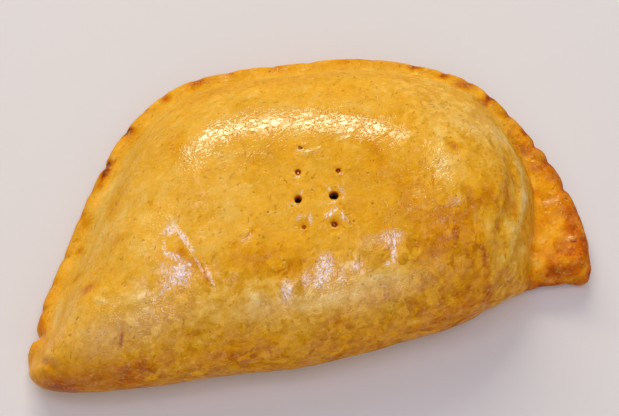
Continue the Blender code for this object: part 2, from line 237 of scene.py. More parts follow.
# --- The filled part --------------------------------------------------------------------
# The filling pushes the upper layer up to a broad level top. A groove lies at its foot all along the band,
# and a sharper furrow beside the flap, with the dough gathered in soft ridges next to it.
CREST_HEIGHT = 34.0
SEAM_THICKNESS = 8.0
CORNER_THICKENING = 1.5
TIP_THICKENING = 3.0
SHOULDER_SPAN = 31.0
SHOULDER_EASE = 2.5
FOOT_STEEPNESS = 1.2
CROWN_SHARE = 0.22
CROWN_SPAN = 46.0
FOOT_REACH = 3.0
WIDEST_AT = 0.38
FOLD_ROUNDING = 0.85
CORNER_FOLD_ROUNDING = 0.5
SHARP_FOLD_AT, SHARP_FOLD_RUN = 72.0, 20.0
SEAM_ROUNDING = 3.6
TUCK_UNDER = 0.85
GROOVE_DEPTH = 0.9
GROOVE_WIDTH = 2.4
GROOVE_FULL, GROOVE_GONE = 170.0, 210.0  # how far along the pinched edge from the corner
SHALLOW_AT, SHALLOW_RUN, SHALLOW_SHARE = 62.0, 24.0, 0.7  # where the groove is nearly filled
FURROW_DEPTH = 1.2
FURROW_WIDTH = 1.1
FURROW_FULL, FURROW_GONE = 36.0, 52.0
FIRST_GATHER = 4.6
FIRST_GATHER_AT_CORNER = 6.5
GATHER_SPACING = 8.0
GATHER_HEIGHT = 0.9
GATHER_RISE = 4.0
GATHER_REACH = 13.0
GATHER_CORNER_RUN = 16.0
GATHERS_FULL, GATHERS_GONE = 32.0, 44.0
LUMP_SPACING = 28.0
LUMP_HEIGHT = 1.5
LUMP_SEED = 5.0
LUMPS_START, LUMPS_FULL = 4.0, 18.0  # how far in from the outline
EDGE_SHIFT = 0.05  # keeps the pull of the edge finite on the edge itself
EDGE_GUARD = 0.1


def spread_in(places):
    """How far in from the pinched edge each place is, as a sheet pushed up from below feels it."""
    middles = (pinched[1:] + pinched[:-1]) / 2
    pull = np.zeros(len(places))
    for (x, y), length in zip(middles, np.diff(run_of(pinched))):
        pull += length / ((places[:, 0] - x) ** 2 + (places[:, 1] - y) ** 2 + EDGE_SHIFT)
    return math.pi / pull


def gathers(along, past_band):
    """Soft ridges beside the corner. The first keeps close to the furrow and bears off it near the fold."""
    first = FIRST_GATHER + (FIRST_GATHER_AT_CORNER - FIRST_GATHER) * dent(along / GATHER_CORNER_RUN)
    past_first = past_band - first
    near = smooth(past_first / GATHER_RISE + 1.0) * (1 - smooth(past_first / GATHER_REACH))
    near *= eased(along, GATHERS_GONE, GATHERS_FULL)
    return GATHER_HEIGHT * near * np.cos(2 * math.pi * past_first / GATHER_SPACING)


def thickness(places, inwards, along):
    """The pastry's thickness at each place, before its edges are rounded."""
    width = band_width(along)
    past_band = inwards - width
    foot = np.clip(past_band + FOOT_REACH, 0.0, 2 * FOOT_REACH) ** 2 / (4 * FOOT_REACH)
    foot += np.maximum(past_band - FOOT_REACH, 0.0)
    risen = spread_in(places) * foot / np.maximum(inwards, EDGE_GUARD)
    shoulder = (1 - (1 - np.minimum(risen / SHOULDER_SPAN, 1.0)) ** SHOULDER_EASE) ** (1 / FOOT_STEEPNESS)
    crown = 1 - (1 - np.minimum(risen / CROWN_SPAN, 1.0)) ** 2
    filled = (1 - CROWN_SHARE) * shoulder + CROWN_SHARE * crown
    seam = SEAM_THICKNESS + CORNER_THICKENING * dent(along / TIP_RUN) + TIP_THICKENING * near_tip(along)
    groove = GROOVE_DEPTH * eased(along, GROOVE_GONE, GROOVE_FULL) * dent(past_band / GROOVE_WIDTH)
    groove *= 1 - SHALLOW_SHARE * dent((along - SHALLOW_AT) / SHALLOW_RUN)
    groove += FURROW_DEPTH * eased(along, FURROW_GONE, FURROW_FULL) * dent(past_band / FURROW_WIDTH)
    deep = CREASE_DEPTH + (CORNER_CREASE_DEPTH - CREASE_DEPTH) * near_corner(along)
    dents = deep * creases(along, inwards, CREASE_WIDTH, crease_depths)
    swell = near_corner(along) * pleat_swell(along + CREASE_SLANT * inwards) * dent(inwards / width)
    dents -= PLEAT_SWELL * swell
    dents += TIP_CREASE_DEPTH * tip_crease(along, inwards)
    return seam + (CREST_HEIGHT - seam) * filled + gathers(along, past_band) - groove - dents


def lumps(places):
    """How far the lumps of the filling raise the crust."""
    scaled = (places / LUMP_SPACING).tolist()
    return LUMP_HEIGHT * np.array([noise.noise((x, y, LUMP_SEED)) for x, y in scaled])


# --- The mesh ---------------------------------------------------------------------------
# The points lie close together on the top, so that wrinkles and blisters are in the mesh. Near the outline
# they lie in rows, closer where the crust is steeper.
MM = 0.001  # in metres
MESH_STEP = 0.46
ROW_TURN = 0.025  # radians round the edge from one row to the next
ROW_RADIUS = 28.0
ROW_COUNT = 26
ROW_CLEARANCE = 0.96  # of its depth: a point of a row that lies closer to the outline than this is left out
GRID_GAP = 0.6 * MESH_STEP
MERGE_WITHIN = 1e-4
UNDERSIDE_ROWS = 9
UNDERSIDE_STEP = 3.0
EVENING = 12.6  # how far round the outline the tuck is averaged
row_depths = [ROW_RADIUS * (1 - math.cos(ROW_TURN * k)) for k in range(1, ROW_COUNT)]


def evened(values):
    """The values round the outline, each averaged with its neighbours on both sides."""
    window = range(-round(EVENING / MESH_STEP), round(EVENING / MESH_STEP) + 1)
    return sum(np.roll(values, shift, axis=0) for shift in window) / len(window)


def grid_points(step):
    """A staggered grid of points over the whole outline."""
    low, high = outline.min(axis=0), outline.max(axis=0)
    xs = np.arange(low[0], high[0], step)
    ys = np.arange(low[1], high[1], step * math.sqrt(3) / 2)
    return np.array([(x + (j % 2) * step / 2, y) for j, y in enumerate(ys) for x in xs])


def triangulated(ring, inner):
    """Triangles in plan over a ring of points and the points inside it."""
    count = len(ring)
    corners = [Vector(p) for p in np.vstack([ring, inner])]
    edges = [(i, (i + 1) % count) for i in range(count)]
    _, _, faces, sources, _, _ = delaunay_2d_cdt(corners, edges, [], 1, MERGE_WITHIN)
    order = [source[0] for source in sources]
    return [tuple(order[i] for i in face) for face in faces]


# --- The steam pricks -------------------------------------------------------------------
# A fork made two rows of pricks to let the steam out. Two are open holes, and the others closed into browned
# craters. Each is its place, the radius and depth of its hole, and the radius and depth of its crater.
PRICKS = [
    (2.9, 36.9, 0.45, 0.3, 0.9, 0.15), (1.2, 30.1, 0.68, 0.3, 1.4, 0.2), (0.0, 22.6, 0.95, 6.0, 1.8, 0.2),
    (0.2, 14.8, 0.5, 0.3, 2.3, 0.4), (11.4, 28.8, 0.6, 0.3, 1.3, 0.2), (9.1, 22.2, 0.95, 6.0, 2.0, 0.25),
    (7.9, 14.3, 0.68, 0.25, 2.3, 0.45),
]
PRICK_RINGS = 16
PRICK_POINTS = 30
PRICK_AREA = 1.5  # in crater radii, where the mesh lies in rings
PRICK_GAP = 0.2
PRICK_REACH = 4.0  # in crater radii, how far the crust changes
HOLE_WALL = 0.5  # the share of the radius that the wall takes, and how far down it is at the radius itself
HOLE_WALL_START = 0.35
RIM_HEIGHT = 0.18
DARK_DEPTH = 4.0  # the depth at which a hole looks as dark as can be


def pricked(places):
    """How much lower the crust is for its pricks, how browned by them less a painted highlight on their lips,
    and how deep in a hole it is.
    """
    sunk, browned, hollow = np.zeros((3, len(places)))
    for number, (x, y, radius, depth, crater, dish) in enumerate(PRICKS):
        away = np.hypot(places[:, 0] - x, places[:, 1] - y)
        close = away < PRICK_REACH * crater
        turn = np.arctan2(places[close, 1] - y, places[close, 0] - x)
        # The crust tore unevenly: the hole is ragged, and its rim stands higher on some sides.
        ragged = away[close] * (1 + 0.05 * np.sin(2 * turn + number) + 0.03 * np.sin(5 * turn + 2 * number))
        hole = smooth((1 - ragged / radius) / HOLE_WALL + HOLE_WALL_START)
        rim = dent((ragged - 1.4 * crater) / (0.4 * crater)) * (0.6 + 0.4 * np.sin(3 * turn + 1.9 * number))
        sunk[close] += depth * hole + dish * (1 - smooth(ragged / (1.2 * crater))) - RIM_HEIGHT * rim
        # A brown ring lines the hole and its crater. On the lip towards the fold a highlight is painted, as a
        # paler colour.
        ring = dent((ragged - 0.75 * radius) / (0.4 * radius)) + 0.3 * dent(ragged / (0.5 * radius))
        lip_highlight = dent((ragged - 1.7 * radius) / (0.4 * radius)) * smooth(0.3 - np.sin(turn + 0.4))
        browned[close] = np.maximum(browned[close], 0.8 * ring + 0.45 * dent((ragged / (0.75 * crater)) ** 2))
        browned[close] -= 0.8 * lip_highlight
        hollow[close] = np.maximum(hollow[close], hole * min(depth / DARK_DEPTH, 1.0))
    return sunk, browned, hollow


# The points in plan: a ring on the outline, rows inside it, rings round the pricks, and a grid for the rest.
outline_run = run_of(outline)
ring_count = round(outline_run[-1] / MESH_STEP)
ring_run = np.arange(ring_count) * outline_run[-1] / ring_count
base_ring = np.stack([np.interp(ring_run, outline_run, outline[:, k]) for k in (0, 1)], axis=1)
ahead = np.roll(base_ring, -1, axis=0) - np.roll(base_ring, 1, axis=0)
ahead /= np.linalg.norm(ahead, axis=1)[:, None]
inward = np.stack([-ahead[:, 1], ahead[:, 0]], axis=1)
rows = []
for depth in row_depths:
    row = base_ring + inward * depth
    clear, _ = nearest_on(outline, row)
    rows.append(row[clear > depth * ROW_CLEARANCE])
grid = grid_points(MESH_STEP)
from_outline, _ = nearest_on(outline, grid)
grid = grid[inside(grid, curve) & (from_outline > row_depths[-1] + GRID_GAP)]
for x, y, _, _, crater, _ in PRICKS:
    grid = grid[np.hypot(grid[:, 0] - x, grid[:, 1] - y) > PRICK_AREA * crater + PRICK_GAP]
    for ring_number, away in enumerate(np.linspace(0.0, PRICK_AREA * crater, PRICK_RINGS)[1:]):
        turn = (np.arange(PRICK_POINTS) + ring_number / 2) * 2 * math.pi / PRICK_POINTS
        rows.append(np.column_stack([x + away * np.cos(turn), y + away * np.sin(turn)]))
    rows.append(np.array([[x, y]]))
inner = np.vstack(rows + [grid])

# The widest ring of the edge, pushed out by the pleats, and everything inside it on top.
on_pinched = ring_run >= outline_run[corner_at]
ring_inwards, ring_along = nearest_on(pinched, base_ring)
ring_inwards = np.where(on_pinched, 0.0, ring_inwards)
ring = base_ring - inward * np.where(on_pinched, reach(ring_along), 0.0)[:, None]
widest = WIDEST_AT * thickness(base_ring, ring_inwards, ring_along)

inwards, along = nearest_on(pinched, inner)
from_fold, _ = nearest_on(fold, inner)
full = thickness(inner, inwards, along)
at_corner = dent((inner[:, 0] - SHARP_FOLD_AT) / SHARP_FOLD_RUN)
fold_radius = (FOLD_ROUNDING + (CORNER_FOLD_ROUNDING - FOLD_ROUNDING) * at_corner) * full
rounding = quarter_round((inwards + reach(along)) / SEAM_ROUNDING) * quarter_round(from_fold / fold_radius)
height = full * (WIDEST_AT + (1 - WIDEST_AT) * rounding)
height += lumps(inner) * eased(np.minimum(inwards, from_fold), LUMPS_START, LUMPS_FULL)
sunk, prick_browning_and_lip_highlight, hollow = pricked(inner)
height -= sunk

# The top, then the side that turns under in rows, then the flat underside.
faces = triangulated(ring, inner)
points = [np.column_stack([ring, widest]), np.column_stack([inner, height])]
start = ring_count + len(inner)
tuck = TUCK_UNDER * evened(widest)[:, None] * evened(inward)
above = np.arange(ring_count)
for turn in np.linspace(0, math.pi / 2, UNDERSIDE_ROWS + 1)[1:]:
    points.append(np.column_stack([ring + tuck * (1 - math.cos(turn)), widest * (1 - math.sin(turn))]))
    below = np.arange(start, start + ring_count)
    faces += list(zip(np.roll(above, -1), above, below, np.roll(below, -1)))
    above = below
    start += ring_count
foot = points[-1][:, :2]
grid = grid_points(UNDERSIDE_STEP)
from_foot, _ = nearest_on(np.vstack([foot, foot[:1]]), grid)
grid = grid[inside(grid, foot) & (from_foot > UNDERSIDE_STEP / 2)]
numbers = list(above) + list(range(start, start + len(grid)))
faces += [tuple(numbers[i] for i in reversed(face)) for face in triangulated(foot, grid)]
points.append(np.column_stack([grid, np.zeros(len(grid))]))
points = np.vstack(points)

# The mesh lies with its middle over the middle of the solid.
low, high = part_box("empanada")
middle_of_cad = (np.array(low) + np.array(high))[:2] / 2 / MM
middle = (points.min(axis=0) + points.max(axis=0))[:2] / 2
shift = np.append(middle_of_cad - middle, 0.0)

mesh = bpy.data.meshes.new("crust")
mesh.from_pydata([tuple(p) for p in points], [], faces)
mesh.update()
normals = np.zeros(3 * len(points))
mesh.vertices.foreach_get("normal", normals)
normals = normals.reshape(-1, 3)

# --- The relief -------------------------------------------------------------------------
# Baked dough isn't smooth: it swells unevenly, blisters, and the egg wash dries in brushed wrinkles. The
# pinched band is lumpier, and so is the crust towards the fold and the right corner.
SWELLS = [(15.0, 0.28, 0), (7.5, 0.09, 1), (3.8, 0.04, 2), (1.9, 0.015, 3)]  # spacing, height and seed
BAND_LUMPS = [(3.2, 0.132, 31), (1.3, 0.048, 33)]
FLAP_LUMPS = [(5.0, 0.5, 77)]
ROUGH_LUMPS = [(4.2, 0.14, 91), (2.1, 0.06, 93)]
BRUSH_TURN = math.radians(27)
WRINKLE_SPACING = (5.0, 1.6, 1.6)  # along the brush strokes, across them, and up
WRINKLE_HEIGHT = 0.04
WRINKLE_SEED = 9
BLISTER_SPACING = 6.0
BLISTER_HEIGHT = 0.12
BLISTER_CHANCE = 0.3  # of a chance from -1 to 1, so that about one place in three has a blister
BLISTER_SIZE = 0.22
BLISTER_SCATTER = 7.3  # gives neighbouring blisters chances of their own
STREAK_SPACING = (8.0, 2.0, 30.0)  # along the pinched edge, inwards from its band, and up
STREAK_HEIGHT = 0.3
STREAK_SEED = 71
FOLDS = [  # the middle, length, turn and width of each small fold or crack, how high it stands, its browning
    # Beside the tip, and low on the front at the left.
    (-68.8, -5.3, 6.0, -42, 0.8, -0.70, 0.12), (-66.9, -4.2, 6.0, -40, 1.2, 0.50, -0.08),
    (-52.8, 5.2, 3.2, -38, 0.6, 0.30, -0.10), (-49.0, -4.8, 4.0, 68, 0.5, -0.25, 0.40),
    # A torn spot left of the pricks.
    (-14.4, 14.3, 2.0, 45, 0.35, -0.15, 0.28), (-12.9, 15.6, 1.8, 60, 0.35, -0.20, 0.20),
    (-15.6, 14.9, 1.6, 10, 0.3, -0.15, 0.20),
    # Behind the pricks, and on the right shoulder.
    (2.4, 35.0, 3.0, -5, 0.5, 0.20, -0.08), (5.4, 35.3, 5.5, 12, 0.5, 0.20, -0.06),
    (13.3, 37.2, 6.5, 14, 0.5, 0.15, -0.04), (18.0, 40.0, 5.0, 25, 0.4, 0.10, -0.04),
    (22.5, 36.0, 5.0, 28, 0.4, 0.12, -0.06), (26.0, 38.5, 6.0, 30, 0.4, 0.12, -0.05),
    (32.0, 36.0, 3.0, 35, 0.5, 0.15, -0.06), (35.0, 23.0, 5.0, 80, 0.35, -0.25, 0.30),
    (36.0, 19.0, 6.0, 40, 0.6, 0.15, -0.04),
    # On the flap.
    (69.0, 21.9, 3.6, -5, 0.35, 0.25, -0.12), (68.9, 20.9, 3.0, -5, 0.35, -0.20, 0.10),
    (72.0, 10.0, 3.2, 8, 0.35, 0.25, -0.12), (72.4, 9.1, 2.0, 5, 0.35, -0.30, 0.22),
]


def waves(places, spacing, seed):
    """Smooth noise from about -1 to 1, with swells about spacing apart."""
    return np.array([noise.noise(p) for p in (places / spacing + seed).tolist()])


def swelling(places, kinds):
    """Waves of several kinds on each other, each kind with its spacing, height and seed."""
    return sum(rise * waves(places, spacing, seed) for spacing, rise, seed in kinds)


def blisters(places, spacing):
    """Low round bumps at about one place in three: 1 at the top of the tallest."""
    rise = np.zeros(len(places))
    for i, p in enumerate((places / spacing).tolist()):
        distances, centres = noise.voronoi(p)
        chance = noise.cell(Vector(centres[0]) * BLISTER_SCATTER)
        if chance > BLISTER_CHANCE:
            size = BLISTER_SIZE * (1 + chance)
            rise[i] = max(0.0, 1 - (distances[0] / size) ** 2) * chance
    return rise


def seen_from(places, x, y, turn):
    """How far each place is from (x, y), along a line through it at the turn, and across that line."""
    turn = math.radians(turn)
    right, up = places[:, 0] - x, places[:, 1] - y
    return right * math.cos(turn) + up * math.sin(turn), up * math.cos(turn) - right * math.sin(turn)


def along_fold(places, x, y, length, turn, width):
    """1 along the middle of the fold, falling to nothing at its ends and sides."""
    lengthways, across = seen_from(places, x, y, turn)
    return dent(across / width) * dent((2 * lengthways / length) ** 2)


# Where each point of the mesh lies.
all_inwards, all_along = nearest_on(pinched, points[:, :2])
all_from_fold, _ = nearest_on(fold, points[:, :2])
past_band = all_inwards - band_width(all_along)
on_band = eased(past_band, 2.0, -1.0)
on_flap = on_band * near_corner(all_along)
rough = eased(points[:, 1], 14.0, 0.0) + 0.6 * eased(points[:, 0], 25.0, 40.0)
above_tray = eased(points[:, 2], 0.0, 2.0)

# Short streaks follow the pinched edge beside the flap, where the dough was gathered.
gathered = eased(all_along, 62.0, 37.0) * eased(past_band, 0.0, 2.0) * eased(past_band, 24.0, 8.0)
streak_places = np.column_stack([all_along, past_band, points[:, 2]])
streaks = gathered * waves(streak_places, STREAK_SPACING, STREAK_SEED)

brushed = waves(points @ np.array(Matrix.Rotation(BRUSH_TURN, 3, "Z")), WRINKLE_SPACING, WRINKLE_SEED)
relief = swelling(points, SWELLS) + WRINKLE_HEIGHT * (1 - np.abs(brushed)) ** 4
relief += BLISTER_HEIGHT * blisters(points, BLISTER_SPACING) + STREAK_HEIGHT * streaks
relief += on_band * swelling(points, BAND_LUMPS) + on_flap * swelling(points, FLAP_LUMPS)
relief += rough * swelling(points, ROUGH_LUMPS)
for x, y, length, turn, width, rise, _ in FOLDS:
    relief += rise * along_fold(points, x, y, length, turn, width)
points = points + normals * (relief * above_tray)[:, None]
points[:, 2] = np.maximum(points[:, 2], 0.0)
mesh.vertices.foreach_set("co", ((points + shift) * MM).ravel())
mesh.update()

# --- How far each place is baked, with painted shade and light --------------------------
# The thin edge, the pleats' dents, and whatever faces the tray brown first. Folds inside the furrow stay
# pale. The same scale also carries painted shade low on the front, under the tip and in the holes, and a few
# painted lighter and darker patches. 0 is hardly baked and 1 is charred.
EVEN_BAKE = 0.29
BROWN_CREASE_WIDTH = 1.7
BROWNEST = 0.78
PRICK_BROWNING = 0.4
HOLE_PAINTED_SHADE = 0.8
BROWNER_PATCHES = [  # the middle and half-lengths of each browner patch, its turn in degrees, how much browner it is; a few are partly painted light and shade
    # The level top, and the slope behind it.
    (-25.0, 22.0, 30.0, 20.0, 0, -0.06), (-8.0, 25.0, 26.0, 15.0, 0, -0.02), (4.0, 24.0, 12.0, 14.0, 0, 0.02),
    (-4.0, 37.0, 7.0, 4.0, 0, 0.10), (0.0, 49.0, 24.0, 6.0, 0, -0.05), (21.0, 55.5, 8.0, 4.0, -3, 0.07),
    (5.0, 60.0, 50.0, 9.0, 0, -0.05), (12.0, 63.0, 30.0, 4.5, -2, 0.08), (-19.0, 64.0, 8.0, 3.0, 20, 0.12),
    # The slope in front of the pricks, from the left.
    (-39.2, 11.4, 10.0, 8.0, 0, 0.03), (-32.0, 10.0, 4.0, 8.0, 0, 0.06), (-31.0, 13.0, 1.5, 2.0, 20, 0.2),
    (-29.2, 10.2, 1.3, 1.3, 0, 0.16), (-27.0, 9.0, 1.2, 2.0, 20, 0.15), (-25.9, 6.0, 0.6, 2.2, 12, 0.25),
    (-18.0, 13.0, 2.5, 1.5, 30, 0.08), (-17.4, 12.4, 1.0, 0.5, 20, 0.08), (-14.0, 9.5, 8.0, 3.4, 0, 0.19),
    (-12.4, 16.0, 2.0, 0.7, 30, 0.12), (-6.0, 5.5, 8.0, 3.0, 0, 0.13), (-5.2, 3.4, 3.0, 2.2, 0, 0.12),
    # Low along the fold, from the left. The first, with its sharp lower edge, is partly a painted shadow under
    # a small step.
    (-48.7, -11.4, 6.0, 1.9, 6, 0.16), (-40.0, -2.0, 2.0, 1.0, 0, 0.1), (-32.0, -6.0, 2.0, 1.0, 0, 0.15),
    (-28.5, -7.8, 12.0, 3.0, 5, 0.05), (-22.0, -3.0, 10.0, 4.0, 5, -0.06), (-20.0, -9.0, 10.0, 4.0, 0, 0.10),
    (-16.0, -1.5, 4.0, 2.0, 0, -0.10), (0.0, -2.0, 12.0, 3.0, 5, -0.08), (2.0, -4.0, 8.0, 2.0, 0, -0.10),
    (5.0, -8.5, 4.0, 1.5, 0, 0.12), (16.0, -4.0, 3.5, 2.0, 0, 0.12), (18.0, -1.5, 9.0, 3.5, 5, -0.16),
    # The right shoulder.
    (22.0, 33.0, 2.5, 6.0, 0, 0.14), (24.0, 22.0, 8.0, 12.0, 0, 0.05), (27.0, 24.0, 5.0, 3.0, 30, 0.06),
    (38.0, 12.0, 20.0, 13.0, 10, 0.11), (38.0, 10.0, 9.0, 6.0, 10, 0.10), (38.0, -2.0, 16.0, 7.0, 20, 0.15),
    (38.5, 26.5, 5.0, 6.0, 0, -0.16), (42.0, 42.0, 10.0, 7.0, 0, -0.07), (42.2, 31.5, 1.3, 1.3, 0, 0.38),
    (44.0, 15.0, 5.0, 3.0, 20, 0.06), (46.0, 3.0, 5.0, 5.0, 0, 0.08), (46.5, 8.8, 1.2, 3.0, -10, -0.15),
    (49.0, 1.5, 1.6, 1.4, 0, -0.14),
    # The gathers and the furrow beside the flap.
    # The paler patch at 53.4, 39.3 on the right shoulder is partly painted light.
    (49.0, 18.1, 1.5, 3.5, 10, 0.16), (51.0, 5.0, 6.0, 7.0, 0, -0.14), (53.4, 39.3, 10.0, 7.0, -45, -0.09),
    (54.5, 17.5, 2.5, 6.0, 5, 0.15), (57.0, 38.0, 6.0, 6.0, 0, -0.08), (60.0, 8.0, 4.0, 12.0, 5, -0.08),
    (61.6, 19.0, 2.2, 13.0, 0, -0.09),
    # The flap, from its top to its foot. The last two, on its face above the tray, are partly painted shade.
    (63.6, 43.7, 2.4, 2.4, 0, 0.15), (65.3, 39.4, 1.8, 1.8, 0, 0.15), (64.1, 38.4, 2.5, 2.5, 0, 0.15),
    (67.5, 38.6, 2.0, 2.0, 0, 0.15), (67.6, 33.0, 3.0, 3.0, 0, 0.15), (66.8, 29.5, 2.5, 2.0, 0, -0.12),
    (72.3, 29.0, 3.0, 4.5, 20, 0.18), (66.4, 25.0, 2.0, 2.0, 0, 0.15), (74.3, 21.0, 2.0, 3.5, 10, 0.10),
    (66.8, 14.5, 4.2, 7.0, 0, -0.11), (70.0, 14.0, 9.0, 14.0, 10, 0.10), (73.0, 12.8, 2.5, 3.0, 0, 0.14),
    (69.2, 7.4, 4.0, 2.0, 0, 0.06), (71.0, 6.2, 5.5, 1.8, 16, 0.16), (74.0, 3.6, 1.3, 1.6, 0, -0.15),
    (69.0, 3.0, 8.0, 2.2, 8, 0.06), (69.0, 0.6, 10.0, 2.4, 4, 0.09),
    # The rest of the pinched band, from the flap to the tip.
    (61.9, 51.2, 1.8, 1.8, 0, 0.18), (57.5, 54.8, 2.2, 1.8, 20, 0.30), (60.2, 56.3, 1.6, 1.4, 0, 0.30),
    (53.1, 61.2, 3.0, 1.8, -20, 0.36), (47.7, 65.3, 2.6, 1.2, -15, 0.34), (40.8, 69.6, 2.8, 1.1, -15, 0.28),
    (26.0, 74.6, 8.0, 0.9, -4, 0.14), (1.9, 75.6, 3.0, 1.4, 5, 0.18), (-20.9, 74.8, 2.8, 1.9, 10, 0.30),
    (-30.1, 70.7, 1.5, 1.2, 0, 0.30), (-41.9, 62.8, 1.4, 1.4, 0, 0.40), (-40.5, 61.0, 3.5, 3.0, 0, 0.16),
    (-49.4, 51.0, 2.8, 1.1, 57, 0.60), (-51.0, 47.4, 1.2, 1.2, 0, 0.20), (-56.2, 36.9, 1.8, 2.2, 0, 0.20),
    (-58.3, 28.4, 1.2, 1.4, 0, 0.30), (-59.8, 18.7, 1.3, 1.3, 0, 0.24),
    # The left shoulder.
    (-29.0, 45.0, 3.0, 5.0, 0, 0.12), (-37.0, 29.2, 0.9, 1.4, 0, 0.16), (-46.0, 38.0, 3.0, 5.0, 0, 0.12),
    (-47.6, 42.0, 5.0, 12.0, -25, -0.07), (-47.8, 33.8, 2.0, 2.4, 0, 0.15), (-46.2, 22.0, 2.4, 1.6, 10, 0.15),
    (-45.0, 26.0, 9.0, 13.0, 0, -0.05), (-45.0, 3.0, 9.0, 6.0, 10, -0.08), (-55.8, 10.4, 2.2, 1.7, 0, 0.38),
    # The tip. The two browner patches low under it, at -60, -9 and -69, -10.5, are partly painted shade.
    (-60.0, -9.0, 14.0, 4.0, 0, 0.06), (-65.3, 11.5, 1.4, 4.0, -10, -0.16), (-67.0, 4.0, 10.0, 9.0, 0, -0.05),
    (-69.0, -10.5, 8.0, 2.0, -10, 0.29), (-70.3, 8.5, 1.4, 5.0, 5, 0.22),
]


def patches(places, kinds):
    """The oval patches on each other: each with its strength in the middle, falling to nothing outside."""
    total = np.zeros(len(places))
    for x, y, long_reach, short_reach, turn, strength in kinds:
        lengthways, across = seen_from(places, x, y, turn)
        total += strength * dent(np.hypot(lengthways / long_reach, across / short_reach))
    return total


blotchy = 1 + 0.5 * waves(points, 1.6, 61)
in_dents = creases(all_along, all_inwards, BROWN_CREASE_WIDTH, crease_browns) * blotchy
on_front = eased(all_inwards - all_from_fold, 0.0, 20.0)
browning = [  # how much browner, and where
    (0.34, in_dents),
    (0.07, dent(all_inwards / 4.0) * eased(all_along, 100.0, 40.0)),  # the rim of the flap and beyond it
    (0.07, on_band * eased(all_along, 75.0, 30.0)),  # the flap
    (0.26, on_flap * waves(points, 4.0, 79)), (0.07, on_flap * waves(points, 1.6, 81)),  # its blotches
    (0.15, on_front * eased(all_from_fold, 6.5, 0.5)),  # low on the front, close to the tray: browner, and partly painted shade on the side turned down
    (0.08, dent(all_from_fold / 4.0) * eased(points[:, 0], 52.0, 62.0)),  # the foot of the corner: browner, and partly painted shade on its face above the tray
    (-0.05, dent((past_band - 1.0) / 3.0) * eased(all_along, 40.0, 70.0)),  # the groove inside the band
    (-0.22, streaks),  # their ridges
]
baked = EVEN_BAKE + sum(browner * share for browner, share in browning) + patches(points, BROWNER_PATCHES)
for x, y, length, turn, width, _, browner in FOLDS:
    baked += browner * along_fold(points, x, y, length, turn, width)
baked = np.minimum(baked, BROWNEST)
on_top = slice(ring_count, ring_count + len(inner))
# The pricks brown the crust, and painted shade darkens their holes, the more the deeper they are.
baked[on_top] += PRICK_BROWNING * prick_browning_and_lip_highlight + HOLE_PAINTED_SHADE * hollow
ridges = gathers(all_along, past_band) / GATHER_HEIGHT  # their tops stay paler, and unevenly so
baked -= (0.06 * np.maximum(ridges, 0.0) + 0.04 * ridges) * (1 + 0.9 * waves(points, 3.0, 83))

# --- The egg wash -----------------------------------------------------------------------
# Beaten egg brushed on before baking. It ran together on the level top, is thin on steep places and at the
# pricks, and where egg white gathered it lies thicker, with highlights painted into its colour as a pale film.
WASH = 0.16
WASH_SWELLS = [(9.0, 0.15, 51), (3.0, 0.15, 53)]
WASH_UNDER_HIGHLIGHTS = 1.2
PRICK_THINNING = 0.8
GLOSSY = [  # where the wash lies thick or thin, given as the browner patches are
    # The bright arc along the back of the level top.
    (-24.4, 40.4, 4.2, 3.0, 45, 1.9), (-14.0, 46.0, 7.0, 3.4, 20, 1.6), (0.0, 46.0, 9.0, 3.2, -5, 1.6),
    (12.0, 42.8, 8.0, 2.8, -20, 1.6), (21.0, 40.4, 5.0, 2.5, -10, 1.3), (30.0, 36.5, 3.0, 2.0, -20, 0.3),
    # Drops and pools elsewhere.
    (-6.7, 38.5, 2.2, 1.6, 0, 0.8), (5.0, 35.0, 3.0, 1.0, 15, 0.6), (-14.5, 14.6, 1.4, 1.8, -40, 0.9),
    (38.5, 27.0, 4.0, 5.0, 0, 0.7), (69.2, 22.0, 2.2, 0.8, 0, 1.0), (72.0, 10.1, 2.2, 0.8, 0, 1.0),
    (10.0, -3.0, 40.0, 5.0, 0, 0.15),
    # Thin wash.
    (4.0, 25.0, 12.0, 12.0, 0, -0.25), (-10.0, 9.0, 9.0, 5.0, 0, -0.4), (67.0, 15.0, 8.0, 18.0, 0, -0.3),
    (60.0, 18.0, 3.5, 14.0, 0, -0.4), (0.0, 63.0, 60.0, 9.0, 0, -0.5), (-35.0, 68.0, 14.0, 8.0, 45, -0.5),
    (-55.0, 40.0, 8.0, 25.0, -30, -0.3),
]
